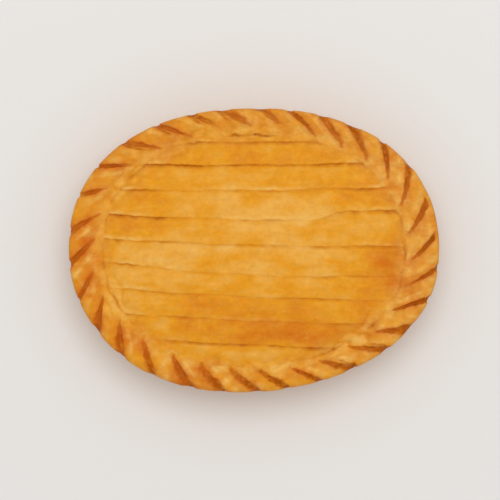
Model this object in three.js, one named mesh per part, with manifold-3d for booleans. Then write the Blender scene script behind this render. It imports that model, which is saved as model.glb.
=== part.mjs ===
// An oval meat pie, baked in one piece: a pastry case with sloping sides, a domed lid of overlapping
// pastry strips, and a rim crimped into slanting folds. Millimetres, +Z up, X along the pie.
// The origin is on the table under the pie's middle.
import * as THREE from "three";
import { mergeVertices } from "three/addons/utils/BufferGeometryUtils.js";
import Module from "manifold-3d";

// Overall sizes
const LENGTH = 240; // over the rim, along X
const WIDTH = 184; // over the rim, along Y
const EDGE_HEIGHT = 39; // the rim's outermost line above the table
const CROWN_HEIGHT = 46.4; // top of the rim before the folds are pressed in
const BORDER_HEIGHT = 44.5; // the shallow valley where the lid meets the rim
const UNDERSIDE_HEIGHT = 34.6; // underside of the overhanging rim
const LID_RISE = 7; // the lid's dome over the filling
const DOME_POWER = 1.25; // over 1, so that the dome levels out where it meets the rim

// The oval, as laid out by hand
const FAR_POWER = 2.22; // squareness of the +Y half, where 2 is an ellipse
const NEAR_POWER = 2.08; // squareness of the -Y half
const LEAN = 9.5; // how far the -Y edge is drawn over towards -X
const LEAN_POWER = 4; // the lean grows this fast towards the -Y edge
const RIM_BAND = 22; // outer edge to lid at the pie's ends
const SIDE_SHARE = 0.77; // the same band at the long sides, as a share of that at the ends

// Rim, side wall and base: insets from the rim's outer edge at the pie's ends
const CROWN_INSET = 9;
const EDGE_FULLNESS = 0.8; // squareness of the rim's outer edge, where 0.55 is a quarter ellipse
const UNDERSIDE_INSET = 5.5;
const WALL_TOP_INSET = 11.5;
const WALL_TOP_HEIGHT = 30.5;
const WALL_BULGE = 2.5;
const FOOT_INSET = 22.5;
const FOOT_HEIGHT = 3;
const BASE_INSET = 26;
const PROFILE_RINGS = [1, 2, 3, 2, 3, 4, 5]; // rings on base, foot, wall, underside, edge and crown

// Crimped folds round the rim
const FOLDS = 30;
const FOLD_START = 0.3196; // share of the rim's length, from +X towards +Y, where the first crease lies
const FOLD_SWEEP = 25; // how far round a crease would run while it crosses the whole rim band
const SWEEP_SWING = 6.3; // the crimping hand turns less than the rim, so that run grows and shrinks twice
const SWEEP_PHASE = -1.96;
const FOLD_END = 0.88; // share of the band that the creases cross
const FOLD_BOW = 1.3; // how far round the rim a crease bows out at its middle
const FOLD_FADE = [0.35, 0.84]; // shares of the band where the creases begin to fade and are gone
const FOLD_CAMBER = 0.5; // height of a fold's back above the plain rim
const CREASE_DEPTH = 2.2;
const NOTCH_DEPTH = 0.8; // where a crease runs out over the rim's edge
const FOLD_UNEVENNESS = 0.22; // share by which the creases differ in depth
const FOLD_PHASE = 2.4; // spreads that difference over the folds
// Hand spacing wanders in one, two and three waves round the rim: amplitude in millimetres, phase
const FOLD_WANDER = [
  [4.8, 3.05],
  [2.7, -1.23],
  [2.0, 1.41],
];
// Pressed by hand, each crease lies this far round the rim from its even place
const CREASE_SHIFTS = [
  -2.5, -1, 0.5, 2, 2.5, 4.5, 2.5, 2.5, 1, -0.5, 0.5, 3, 1.5, 1.5, -0.5, -0.5, -1, 1.5, -0.5, 0, -1.5, -2, -1,
  1.5, 2, 3.5, 3, 2, -1, 0,
];
// Places across one fold, from its crease, and how far each stands up from crease to back.
// A crease is a rounded trough, and the backs between are nearly flat.
const FOLD_SECTION = [
  [0, 0],
  [0.09, 0.25],
  [0.18, 0.9],
  [0.5, 1],
  [0.83, 0.92],
  [0.92, 0.3],
];

// Pastry strips of the lid, from +Y to -Y
const FIRST_EDGE = 70; // Y of the farthest strip's near edge
const STRIP_WIDTHS = [15.1, 16.3, 18.9, 16.4, 19.3, 14.0, 15.5, 15.5]; // cut by hand
const EDGE_SLOPES = [0, -0.005, -0.01, 0.018, 0.026, 0.046, 0.042, 0.042, 0.042]; // the last lie askew
const EDGE_BOWS = [0.0002, 0.0002, 0.0002, 0.0002, 0.0002, 0.0005, 0.0002, 0.0002, 0.0002]; // in 1/mm
const JOGGED_EDGE = 3; // the edge of a strip laid in two pieces
const JOG_REACH = [36, 60]; // X over which that edge jogs from one piece to the other
const JOG = 6;
const EDGE_WAVE = 0.35; // waviness of the cut edges
const EDGE_WAVE_LENGTH = 61;
const EDGE_PHASE = 1.7; // the waves of neighbouring edges are out of step
const FAR_LIFT = 0.7; // strip's top above the lid at its far edge
const NEAR_LIFT = 1.9; // strip's top above the lid where it laps over the next strip
const LAP = 0.25; // share of a strip's width that is under the strip before it
const LIP = 0.1; // share of a strip's width taken by its rounded near edge
const STRIP_ROOT = 3; // how deep a strip is sunk in the lid
const STRIP_STEPS = 18;
const STRIP_OVERRUN = 1.1; // strips are laid this much longer than the lid, then trimmed to it
const BORDER_FADE = 0.1; // share of the lid, at its border, over which the strips thin out

const HALF_LENGTH = LENGTH / 2;
const HALF_WIDTH = WIDTH / 2;
const LID_LENGTH = HALF_LENGTH - RIM_BAND;
const LID_WIDTH = HALF_WIDTH - RIM_BAND * SIDE_SHARE;
const STRIP_REACH = STRIP_OVERRUN * LID_LENGTH;
const WELD = 1e-3; // vertices closer than this are one

const { lerp, smoothstep } = THREE.MathUtils;

// Distance from the middle to a rounded oval, in the direction of an angle
function ovalRadius(halfLength, halfWidth, angle) {
  const power = Math.sin(angle) > 0 ? FAR_POWER : NEAR_POWER;
  const along = Math.abs(Math.cos(angle)) / halfLength;
  const across = Math.abs(Math.sin(angle)) / halfWidth;
  return (along ** power + across ** power) ** (-1 / power);
}

// A point of the oval that lies the given inset inside the rim's outer edge.
// Past the rim's band the ovals are the lid's own outline, smaller and smaller.
function insetPoint(inset, angle) {
  const crossed = Math.min(inset, RIM_BAND);
  const scale = (HALF_LENGTH - inset) / (HALF_LENGTH - crossed);
  const radius = scale * ovalRadius(HALF_LENGTH - crossed, HALF_WIDTH - crossed * SIDE_SHARE, angle);
  return new THREE.Vector3(radius * Math.cos(angle), radius * Math.sin(angle), 0);
}

// The whole pie leans a little towards -X on its -Y side
function leaned(point) {
  const share = Math.max(0, -point.y) / HALF_WIDTH;
  point.x -= LEAN * share ** LEAN_POWER;
  return point;
}

class RimEdge extends THREE.Curve {
  getPoint(t) {
    return insetPoint(0, 2 * Math.PI * t);
  }
}
const rimEdge = new RimEdge();
rimEdge.arcLengthDivisions = 720;
const RIM_LENGTH = rimEdge.getLength();

// Angle of a place on the rim, given as a distance round its edge
function rimAngle(distance) {
  const share = distance / RIM_LENGTH;
  return 2 * Math.PI * rimEdge.getUtoTmapping(share - Math.floor(share));
}

// Distance round the rim's edge to a fold place: 0 is the first crease and 1 the second
function foldDistance(place) {
  const turn = (2 * Math.PI * place) / FOLDS;
  const wander = FOLD_WANDER.reduce(
    (sum, [size, phase], wave) => sum + size * Math.cos((wave + 1) * turn - phase),
    0,
  );
  const fold = Math.floor(place);
  const shift = lerp(CREASE_SHIFTS[fold], CREASE_SHIFTS[(fold + 1) % FOLDS], place - fold);
  return (FOLD_START + place / FOLDS) * RIM_LENGTH + wander + shift;
}

// How far round the rim the crease at a fold place would run while it crosses the whole band
function foldSweep(place) {
  return FOLD_SWEEP + SWEEP_SWING * Math.cos((4 * Math.PI * place) / FOLDS - SWEEP_PHASE);
}

// Creases pressed by hand differ a little in depth
function creaseStrength(place) {
  return 1 + FOLD_UNEVENNESS * Math.sin(FOLD_PHASE * (Math.round(place) % FOLDS));
}

// A point of the case or its crimped rim. The folds slant round the rim as they cross its top,
// are deepest over its crown, notch its edge and die out towards the lid.
function crimpedPoint(inset, height, place, rise) {
  const crossed = height > EDGE_HEIGHT ? Math.min(inset / RIM_BAND, FOLD_END) : 0;
  const bow = (FOLD_BOW * 4 * crossed * (FOLD_END - crossed)) / FOLD_END ** 2;
  const angle = rimAngle(foldDistance(place) + bow - crossed * foldSweep(place));
  const fade = 1 - smoothstep(inset / RIM_BAND, ...FOLD_FADE);
  const crease = (1 - rise) * creaseStrength(place) * fade;
  const onEdge = smoothstep(height, UNDERSIDE_HEIGHT, EDGE_HEIGHT) * (1 - smoothstep(inset, 0, CROWN_INSET));
  const onTop = smoothstep(height, EDGE_HEIGHT, CROWN_HEIGHT);
  const point = leaned(insetPoint(inset + NOTCH_DEPTH * crease * onEdge, angle));
  point.z = height + onTop * (FOLD_CAMBER * rise * fade - CREASE_DEPTH * crease);
  return point;
}

// How far out on the lid a point is: 0 in the middle, 1 at its border
function lidShare(x, y) {
  return Math.hypot(x, y) / ovalRadius(LID_LENGTH, LID_WIDTH, Math.atan2(y, x));
}

// Height of the plain domed lid, before the strips
function lidHeight(x, y) {
  return BORDER_HEIGHT + LID_RISE * (1 - Math.min(1, lidShare(x, y)) ** 2) ** DOME_POWER;
}

// Half section of the case: X is the inset from the rim's edge and Y the height.
// It runs from the base under the pie's middle, up the wall, round the rim and over to the lid's middle.
function caseProfile() {
  const section = new THREE.Path();
  section.moveTo(HALF_LENGTH, 0);
  section.lineTo(BASE_INSET, 0);
  section.quadraticCurveTo(FOOT_INSET, 0, FOOT_INSET, FOOT_HEIGHT);
  section.quadraticCurveTo(
    lerp(FOOT_INSET, WALL_TOP_INSET, 0.5) - WALL_BULGE,
    lerp(FOOT_HEIGHT, WALL_TOP_HEIGHT, 0.5),
    WALL_TOP_INSET,
    WALL_TOP_HEIGHT,
  );
  section.quadraticCurveTo(WALL_TOP_INSET, UNDERSIDE_HEIGHT, UNDERSIDE_INSET, UNDERSIDE_HEIGHT);
  section.quadraticCurveTo(0, UNDERSIDE_HEIGHT, 0, EDGE_HEIGHT);
  section.bezierCurveTo(
    0,
    lerp(EDGE_HEIGHT, CROWN_HEIGHT, EDGE_FULLNESS),
    CROWN_INSET * (1 - EDGE_FULLNESS),
    CROWN_HEIGHT,
    CROWN_INSET,
    CROWN_HEIGHT,
  );
  const slope = lerp(CROWN_INSET, RIM_BAND, 0.5);
  section.bezierCurveTo(slope, CROWN_HEIGHT, slope, BORDER_HEIGHT, RIM_BAND, BORDER_HEIGHT);
  const rings = section.curves.flatMap((curve, i) => curve.getPoints(PROFILE_RINGS[i]).slice(1));
  const halfway = LID_LENGTH / 2;
  return [
    new THREE.Vector2(HALF_LENGTH, 0),
    ...rings,
    new THREE.Vector2(HALF_LENGTH - halfway, lidHeight(halfway, 0)),
    new THREE.Vector2(HALF_LENGTH, lidHeight(0, 0)),
  ];
}

// The case with its rim: a turned blank whose rings are drawn out to ovals and crimped
function pastryCase() {
  const profile = caseProfile();
  const columns = FOLDS * FOLD_SECTION.length;
  const turned = profile.map((point) => new THREE.Vector2(HALF_LENGTH - point.x, point.y));
  const geometry = new THREE.LatheGeometry(turned, columns);
  const position = geometry.getAttribute("position");
  for (let i = 0; i < position.count; i++) {
    const column = Math.floor(i / profile.length) % columns;
    const fold = Math.floor(column / FOLD_SECTION.length);
    const [place, rise] = FOLD_SECTION[column % FOLD_SECTION.length];
    const { x: inset, y: height } = profile[i % profile.length];
    const point = crimpedPoint(inset, height, fold + place, rise);
    position.setXYZ(i, point.x, point.y, point.z);
  }
  return geometry;
}

// Y of the edge between two strips: edge 0 is the near edge of the farthest strip
function stripEdge(edge, x) {
  const middle = STRIP_WIDTHS.slice(0, edge).reduce((y, width) => y - width, FIRST_EDGE);
  const wave = EDGE_WAVE * Math.sin((2 * Math.PI * x) / EDGE_WAVE_LENGTH + EDGE_PHASE * edge);
  const jog = edge === JOGGED_EDGE ? JOG * smoothstep(x, ...JOG_REACH) : 0;
  return middle - EDGE_SLOPES[edge] * x + EDGE_BOWS[edge] * x * x + wave + jog;
}

// Far and near edges of a strip at a place along it; the outermost strips run on under the rim
function stripSpan(strip, x) {
  const last = STRIP_WIDTHS.length;
  const far = strip === 0 ? stripEdge(0, x) + STRIP_WIDTHS[0] : stripEdge(strip - 1, x);
  const near = strip > last ? stripEdge(last, x) - STRIP_WIDTHS[last - 1] : stripEdge(strip, x);
  return [far, near];
}

// Cross section of a strip: X is a share of its width, 0 at its far edge and -1 at its near edge,
// and Y is the height of its top above the lid
function stripSection() {
  const section = new THREE.Shape();
  section.moveTo(LAP, -STRIP_ROOT);
  section.lineTo(LAP, 0);
  section.lineTo(0, FAR_LIFT);
  section.quadraticCurveTo(-0.5, NEAR_LIFT, LIP - 1, NEAR_LIFT);
  section.quadraticCurveTo(-1, NEAR_LIFT, -1, NEAR_LIFT / 2);
  section.lineTo(-1, -STRIP_ROOT);
  section.closePath();
  return section;
}

// One strip laid over the dome, thinning out where it meets the rim
function lidStrip(strip) {
  const geometry = new THREE.ExtrudeGeometry(stripSection(), {
    depth: 2 * STRIP_REACH,
    steps: STRIP_STEPS,
    curveSegments: 3,
    bevelEnabled: false,
  });
  const position = geometry.getAttribute("position");
  for (let i = 0; i < position.count; i++) {
    const x = position.getZ(i) - STRIP_REACH;
    const [far, near] = stripSpan(strip, x);
    const y = far + position.getX(i) * (far - near);
    const lift = position.getY(i);
    const fade = lift > 0 ? 1 - smoothstep(lidShare(x, y), 1 - BORDER_FADE, 1) : 1;
    const point = leaned(new THREE.Vector3(x, y, lidHeight(x, y) + lift * fade));
    position.setXYZ(i, point.x, point.y, point.z);
  }
  return geometry;
}

// An upright block of the lid's outline, which trims the strips to the rim's border
function lidBlock() {
  const corners = FOLDS * FOLD_SECTION.length;
  const outline = Array.from({ length: corners }, (_, i) => {
    const point = leaned(insetPoint(RIM_BAND, (2 * Math.PI * i) / corners));
    return new THREE.Vector2(point.x, point.y);
  });
  return new THREE.ExtrudeGeometry(new THREE.Shape(outline), {
    depth: 2 * CROWN_HEIGHT,
    bevelEnabled: false,
  });
}

const wasm = await Module();
wasm.setup();

// A closed geometry as a solid that can be joined and cut
function solidOf(geometry) {
  geometry.deleteAttribute("normal");
  geometry.deleteAttribute("uv");
  const merged = mergeVertices(geometry, WELD);
  return new wasm.Manifold(
    new wasm.Mesh({
      numProp: 3,
      vertProperties: merged.getAttribute("position").array,
      triVerts: new Uint32Array(merged.index.array),
    }),
  );
}

function geometryOf(solid) {
  const mesh = solid.getMesh();
  const geometry = new THREE.BufferGeometry();
  geometry.setAttribute("position", new THREE.BufferAttribute(mesh.vertProperties, 3));
  geometry.setIndex(new THREE.BufferAttribute(mesh.triVerts, 1));
  return geometry;
}

// Case, rim and strips bake together into one piece, set with its middle over the origin
function bakedPie() {
  const strips = Array.from({ length: STRIP_WIDTHS.length + 2 }, (_, i) => solidOf(lidStrip(i)));
  const lid = strips.reduce((joined, strip) => joined.add(strip)).intersect(solidOf(lidBlock()));
  const geometry = geometryOf(solidOf(pastryCase()).add(lid));
  geometry.computeBoundingBox();
  const middle = geometry.boundingBox.getCenter(new THREE.Vector3());
  geometry.translate(-middle.x, -middle.y, 0);
  geometry.computeVertexNormals();
  return geometry;
}

const goldenCrust = new THREE.MeshStandardMaterial({ color: 0xe29a35, roughness: 0.5, metalness: 0 });

const pie = new THREE.Mesh(bakedPie(), goldenCrust);
pie.name = "pie";

const group = new THREE.Group();
group.add(pie);

export default group;
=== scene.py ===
import math
from types import SimpleNamespace

import bmesh
import bpy
import numpy as np
from bpy.props import FloatProperty, FloatVectorProperty, PointerProperty
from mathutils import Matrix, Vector, noise


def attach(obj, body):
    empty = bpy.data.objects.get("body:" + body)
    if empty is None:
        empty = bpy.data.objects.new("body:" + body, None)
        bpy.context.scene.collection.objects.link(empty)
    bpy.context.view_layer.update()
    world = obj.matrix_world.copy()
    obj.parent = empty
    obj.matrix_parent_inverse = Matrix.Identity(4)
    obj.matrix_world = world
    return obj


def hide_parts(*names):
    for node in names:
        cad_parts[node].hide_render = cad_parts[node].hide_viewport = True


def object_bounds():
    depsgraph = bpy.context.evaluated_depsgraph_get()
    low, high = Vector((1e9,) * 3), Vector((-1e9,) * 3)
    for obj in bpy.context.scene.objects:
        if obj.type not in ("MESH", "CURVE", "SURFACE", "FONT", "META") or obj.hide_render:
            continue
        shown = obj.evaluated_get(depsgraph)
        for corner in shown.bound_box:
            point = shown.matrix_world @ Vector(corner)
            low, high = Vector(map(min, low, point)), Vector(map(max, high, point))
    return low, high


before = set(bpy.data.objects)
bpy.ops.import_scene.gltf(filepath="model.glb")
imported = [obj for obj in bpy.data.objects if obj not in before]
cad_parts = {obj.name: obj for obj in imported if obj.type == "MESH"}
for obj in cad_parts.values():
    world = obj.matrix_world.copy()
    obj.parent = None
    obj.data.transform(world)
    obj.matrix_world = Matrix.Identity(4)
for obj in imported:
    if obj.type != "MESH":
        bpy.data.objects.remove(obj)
CAD_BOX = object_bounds()

bl_info = {
    "name": "Oval crimped pie",
    "version": (1, 0, 0),
    "blender": (4, 5, 0),
    "location": "3D View > Sidebar > Pie",
    "description": "Makes an oval pie with a crimped rim and a lid of overlapping pastry strips",
    "category": "Object",
}

MM = 0.001
JOIN_DISTANCE = 1e-7

# Marks that the mesh carries for the crust: browning with some painted shade and painted light, glaze and
# painted shade gathered in creases, pale edges, egg wash
MARKS = ("tone", "crease", "pale", "glaze")

# Layout of the pie, in millimetres and the same as the solid's: +X along it, +Y to its far side
LENGTH = (CAD_BOX[1].x - CAD_BOX[0].x) / MM
WIDTH = (CAD_BOX[1].y - CAD_BOX[0].y) / MM
HALF_LENGTH = LENGTH / 2
HALF_WIDTH = WIDTH / 2
EDGE_HEIGHT = 39.0  # the rim's outermost line
CROWN_HEIGHT = 46.4
BORDER_HEIGHT = 44.5  # the shallow valley where the lid meets the rim
UNDERSIDE_HEIGHT = 34.6  # underside of the overhanging rim
LID_RISE = 7.0
DOME_POWER = 1.25  # over 1, so that the dome levels out where it meets the rim
FAR_POWER = 2.22  # squareness of the oval's far half, where 2 is an ellipse
NEAR_POWER = 2.08
LEAN = 9.5  # how far the near edge is drawn over towards -X
LEAN_POWER = 4
RIM_BAND = 22.0  # outer edge to lid at the pie's ends
SIDE_SHARE = 0.77  # the same band at the long sides, as a share of that at the ends
LID_LENGTH = HALF_LENGTH - RIM_BAND
LID_WIDTH = HALF_WIDTH - RIM_BAND * SIDE_SHARE

# Section of the rim, wall and base: insets from the rim's outer edge, and heights
CROWN_INSET = 9.0
UNDERSIDE_INSET = 5.5
WALL_TOP = (11.5, 30.5)
WALL_BULGE = 2.5
FOOT = (22.5, 3.0)
BASE_INSET = 26.0
EDGE_FULLNESS = 0.8  # squareness of the rim's outer edge, where 0.55 is a quarter ellipse

# Rings of the case's mesh. A few lie under the lid and on the base, where nothing shows
SLOPE_RINGS = 28
EDGE_RINGS = 24
UNDERSIDE_RINGS = 10
SHOULDER_RINGS = 6
WALL_RINGS = 14
FOOT_RINGS = 6
TUCKED_RINGS = 12
TUCKED_REACH = 8.0
UNDER_LID_INSETS = (HALF_LENGTH, HALF_LENGTH - 40, RIM_BAND + 14)
BASE_INSETS = (HALF_LENGTH - 60, HALF_LENGTH - 20, HALF_LENGTH)

# Soft noise, in bumps: how far each seed's lies from the one before, and each strip edge's from the last
SEED_STEPS = (13.1, 7.7, 3.3)
LINE_STEP = 3.1
# Bumps all over the crust, and those of each strip alone: size in millimetres and first seed
WIDE_BUMPS = (16, 1)
FINE_BUMPS = (5, 2)
STRIP_BUMPS = (13, 21)
FINE_SHARE = 0.4
STRIP_SHARE = 0.6

# Folds of the rim
FOLDS = 30
FOLD_START = 0.3196  # share of the rim's length, from +X towards +Y, where the first crease lies
FOLD_SWEEP = 25.0  # how far round a crease would run while it crosses the whole rim band
SWEEP_SWING = 6.3  # that run grows and shrinks twice round the rim
SWEEP_PHASE = -1.96
FOLD_END = 0.88  # share of the band that the creases slant across
SLANT_TURN = 6  # how sharply their slant ends there
FOLD_BOW = 1.3  # how far round the rim a crease bows out at its middle
FOLD_UNEVENNESS = 0.22  # share by which the creases differ in depth
FOLD_PHASE = 2.4  # spreads that difference over the folds
# Hand spacing wanders in one, two and three waves round the rim: millimetres and phase
FOLD_WANDER = ((4.8, 3.05), (2.7, -1.23), (2.0, 1.41))
# How far round the rim each crease lies from its even place
CREASE_SHIFTS = (
    -2.5, -1.0, 0.5, 2.0, 2.5, 4.5, 2.5, 2.5, 1.0, -0.5,
    0.5, 3.0, 1.5, 1.5, -0.5, -0.5, -1.0, 1.5, -0.5, 0.0,
    -1.5, -2.0, -1.0, 1.5, 2.0, 3.5, 3.0, 2.0, -1.0, 0.0,
)
# Columns of the mesh in each fold, and how much they crowd towards its creases
COLUMNS_PER_FOLD = 30
COLUMN_CROWDING = 0.55
EDGE_SAMPLES = 2881  # places at which the rim's edge is measured
# Unevenness of the hand, in millimetres: folds that sway, an edge and a wall that are not quite true
FOLD_SWAY = 0.7
SWAY_FADE = (0.5, 0.9)  # shares of the band over which the sway dies out
EDGE_WOBBLE = 0.4
WALL_WOBBLE = 0.5
WALL_GRAIN = 0.3
WALL_START = (2, 12)  # heights over which the wall's wobble begins, above a true foot

# Creases pressed by hand: each one's width as a share of the usual one
CREASE_BREADTHS = (
    0.75, 0.65, 0.80, 0.65, 0.65, 0.75, 0.75, 0.55, 1.00, 1.05,
    1.00, 1.10, 1.20, 1.20, 0.90, 0.85, 1.15, 1.05, 1.55, 0.75,
    0.65, 0.65, 0.85, 0.80, 0.70, 1.30, 0.95, 0.65, 0.95, 1.35,
)
# How far in each crease reaches from the rim's edge
CREASE_REACHES = (
    14.5, 18.5, 20.0, 17.5, 14.5, 18.0, 17.5, 16.0, 17.0, 17.0,
    19.0, 21.5, 21.5, 21.0, 20.5, 19.0, 19.0, 19.0, 17.5, 19.5,
    17.5, 18.5, 20.5, 20.5, 18.5, 18.0, 19.5, 18.0, 14.0, 15.0,
)
# Creases that start inside the rim's edge, and the insets over which they begin
INNER_CREASES = (21, 22)
CREASE_BEGINNING = (1.5, 4.0)
# A crease's width along its length, for a lens and for a wedge: share of its length, share of its width.
# Each crease is drawn somewhere between the two
CREASE_LENS = ((0.0, 0.8), (0.2, 1.0), (0.5, 1.0), (0.75, 0.85), (0.9, 0.55), (1.0, 0.3), (1.1, 0.0))
CREASE_WEDGE = ((0.0, 1.3), (0.2, 1.15), (0.45, 0.8), (0.65, 0.5), (0.85, 0.35), (1.0, 0.25), (1.1, 0.0))
CREASE_SEED = 11
THINNEST_CREASE = 0.05
# Shares of a crease's length over which it gets shallow, comes to its end and loses glaze
CREASE_FADE = (0.45, 1.1)
CREASE_ENDING = (0.85, 1.1)
EASING_REACH = (0.15, 1)
# Soft noise in a crease's width, sides and end: amount, size in millimetres and seed of each layer
CREASE_WAVER = ((0.5, 4, 3),)
CREASE_RAGGEDNESS = ((0.55, 2.6, 4), (0.35, 1.3, 9))
ENDING_WAVER = ((0.15, 3, 11),)
# Creases get more worn over these distances from the long axis. Pairs are at the ends and long sides
LONG_SIDES = (30, 65)
RAGGED_SHARE = (0.6, 1.2)
TROUGH_BOTTOM = (0.6, 0.35)  # shares of a crease's half width where its bottom and its sides end
TROUGH_TOP = (1.2, 1.3)
TROUGH_EASE = 0.45  # how much further out its sides run on, in millimetres

# How much glaze and painted shade gathered in the creases, how it leans along X and Y, the share of it
# missing at their inner ends, and the least and most that a crease holds
CREASE_GLAZE_AND_SHADE = 0.87
CREASE_LEAN = (0.24, -0.13)
CREASE_EASING = 0.5
GLAZE_SPREAD = (0.8, 1.0)
# Glaze and painted shade all over a crease's trough, more of both in a core that drifts from side to side,
# and its mottle
TROUGH_GLAZE_AND_SHADE = 0.75
CORE_GLAZE_AND_SHADE = 0.4
CORE_SHARE = 0.45
CORE_DRIFT = ((0.6, 7, 22),)
GLAZE_MOTTLE = ((1, 5, 10), (1, 1.8, 12))
MOTTLE_SHARE = (0.3, 0.7)  # at the ends and long sides
# Creases that part in two as they run inwards, and the thin line that leaves them
BRANCHED_CREASES = (0, 1, 2, 16, 17, 29)
BRANCH_GLAZE_AND_SHADE = 0.7
BRANCH_SPREAD = 4.0
BRANCH_WIDTH = 0.7
BRANCH_FADE = (0.5, 0.8)
# Floury band on the fold's back beside a crease, and the browning round the crease
BACK_PALENESS = 0.75
BACK_OFFSET = 4.6
BACK_REACH = 2.2
BACK_FLOUR = 0.4
BACK_GRAIN = 0.9
STAIN = 0.8
STAIN_SHIFT = (0, 0.4)  # at the ends and long sides
STAIN_REACH = (1.8, 1.4)

# Border of the lid, where it was pressed to the rim. It strays by noise: amount, size and seed
BORDER_STRAY = ((1.6, 16, 5), (1.0, 6, 6), (0.6, 2.5, 18))
BORDER_DIVE = 0.2  # how fast one piece sinks under its neighbour, in 1/mm
DEEPEST_DIVE = 2.5
RIDGE_OFFSET = 1.5
RIDGE_REACH = 5.0
RIDGE_SHARE = 0.4
RIDGE_LUMPS = ((0.9, 11, 7), (0.5, 4.5, 8), (0.5, 2, 15))
HIGHEST_LUMP = 1.2
# Where the border cracked: middle in X and Y, reach and amount. The cracks are sunk, and painted dark as
# painted shade
BORDER_CRACKS = (
    ((-99, 21), 4, 0.8),
    ((-100, 0), 7, 0.2),
    ((-96, -10), 3, 0.5),
    ((-88, -32), 5, 0.6),
    ((-78, -44), 5, 0.3),
    ((-82, 50), 3, 1.2),
    ((-73, 52), 5, 0.7),
    ((-94, 37), 5, 0.8),
    ((-12, 75), 4, 1.3),
    ((5, 76), 7, 1.6),
    ((-41, 71), 5, 0.5),
    ((42, 71), 5, 0.5),
    ((69, 54), 5, 0.6),
    ((96, 19), 5, 0.45),
    ((98, -2), 5, 0.65),
    ((97, -22), 6, 0.65),
    ((77, -49), 3, 0.8),
    ((53, -66), 8, 0.75),
)
CRACK_DEPTH = 0.5
CRACK_WIDTH = 0.8
WIDER_CRACK = 0.4  # added to the width as the amount grows from one of the next two to the other
WIDE_AMOUNTS = (0.8, 1.4)

# Where the dough crumpled at the border: middle in X and Y, reach and amount
CRUMPLES = (
    ((-86, 46), 16, 1.0),
    ((-46, 74), 18, 0.8),
    ((-5, 77), 18, 0.7),
    ((99, 12), 22, 0.5),
    ((68, -58), 26, 1.0),
    ((-88, -30), 18, 0.9),
    ((0, -73), 40, 0.4),
)
CRUMPLE_WRINKLES = (6.5, 20)  # size and seed
CRUMPLE_REACH = 8.0
WRINKLE_RISE = 2.0  # shares of the crumples' height, between the wrinkles and in them
WRINKLE_SINK = 0.5
# Glaze and painted shade in the wrinkles, and flour on the dough between them: amount, and how far from a
# wrinkle each lies
WRINKLE_GLAZE_AND_SHADE = 0.4
WRINKLE_WIDTH = 0.1
WRINKLE_FLOUR = 0.6
WRINKLE_TOPS = (0.15, 0.4)

# Strips of the lid, from the far side to the near side
FIRST_EDGE = 70.0  # Y of the farthest strip's near edge
STRIP_WIDTHS = (15.1, 16.3, 18.9, 16.4, 19.3, 14.0, 15.5, 15.5)
LAST_EDGE = len(STRIP_WIDTHS)
EDGE_SLOPES = (0, -0.005, -0.01, 0.018, 0.026, 0.046, 0.042, 0.042, 0.042)
EDGE_BOWS = (0.0002, 0.0002, 0.0002, 0.0002, 0.0002, 0.0005, 0.0002, 0.0002, 0.0002)
JOGGED_EDGE = 3  # the edge of a strip laid in two pieces
JOG_REACH = (36, 60)  # X over which that edge jogs from one piece to the other
JOG = 6.0
EDGE_WAVE = 0.35
EDGE_WAVE_LENGTH = 61.0
EDGE_PHASE = 1.7  # the waves of neighbouring edges are out of step
EDGE_KINKS = ((0.4, 11, 12), (0.4, 4, 13), (0.2, 2, 16))
FAR_TUCK = 12.0  # how far the first and the last strip run on under the rim
NEAR_TUCK = 3.0
STRIP_ROOT = 3.0  # how deep a strip is sunk in the lid
STRIP_SPACING = 0.62  # between the mesh's columns along a strip
STRIP_ROWS = 20
LIP_ROWS = 5
STRIP_LAP = 3.0  # how far a strip runs on under the one before it
STRIP_TRIM = 1.08  # share of the lid's oval where a strip's ends are trimmed, under the rim
STRIP_OVERRUN = 6.0
LID_POWER = 2.4  # squareness of the oval to which the strips are cut before they are trimmed
STRIP_ENDING = (-12, 0)  # distances from the border over which a strip thins out
LIP_RADIUS = 1.1
LIP_CURL = 0.4
LIP_UNDERCUT = 0.5  # how far back from its edge a lip's underside starts
TUCK = 0.5  # how far a strip sinks where it goes under the one before it, within one millimetre
# Where the strips' edges stayed open in baking, edge by edge: middle and reach along X, amount
OPEN_PLACES = (
    ((-38, 12, 0.8), (-5, 20, 0.3), (24, 18, 0.4), (43, 9, 0.7)),
    ((-52, 20, 1.4), (0, 50, 0.4), (54, 11, 1.8)),
    ((-78, 14, 0.6), (5, 30, 0.2), (70, 14, 0.65)),
    (
        (-91, 8, 1.0), (-76, 10, 0.3), (-59, 10, 1.2), (4, 13, 0.45),
        (62, 10, 0.6), (80, 8, 0.35), (93, 8, 0.8),
    ),
    ((-93, 8, 1.4), (-60, 13, 0.5), (3, 18, 0.25), (43, 7, 0.4), (74, 16, 0.45)),
    ((-80, 16, 0.35), (50, 14, 0.3), (74, 12, 0.12)),
    ((-62, 25, 0.25), (45, 32, 0.3)),
    ((-65, 26, 0.3), (0, 40, 0.1), (60, 14, 0.28)),
    ((-40, 13, 0.7), (-8, 16, 0.3), (20, 12, 0.5), (42, 8, 1.1)),
)
USUAL_OPENNESS = 0.07
LEAST_OPENNESS = 0.02
OPEN_UNEVENNESS = ((1.0, 14, 14), (0.8, 5, 17))
# Where the strips' near edges stayed pale, edge by edge: middle and reach along X, amount
PALE_LIPS = (
    ((-36, 8, 1.0), (42, 8, 0.5)),
    ((-66, 8, 0.8), (66, 8, 0.9)),
    ((-84, 8, 1.0), (0, 32, 0.8), (82, 8, 1.3)),
    ((-84, 14, 0.7), (-8, 15, 1.3), (29, 18, 1.3), (80, 10, 0.8)),
    ((-84, 12, 1.5), (78, 14, 0.6)),
    ((-82, 12, 1.0), (0, 14, 0.3), (44, 8, 0.4)),
    ((-78, 12, 0.9), (12, 12, 0.25)),
    ((-78, 10, 0.4), (-10, 30, 0.25)),
    ((-52, 8, 0.4), (55, 8, 0.4)),
)
LIP_BAND = (3.6, 1.2)  # distances from the near edge over which a pale lip begins
LIP_GRAIN = 0.8
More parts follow.
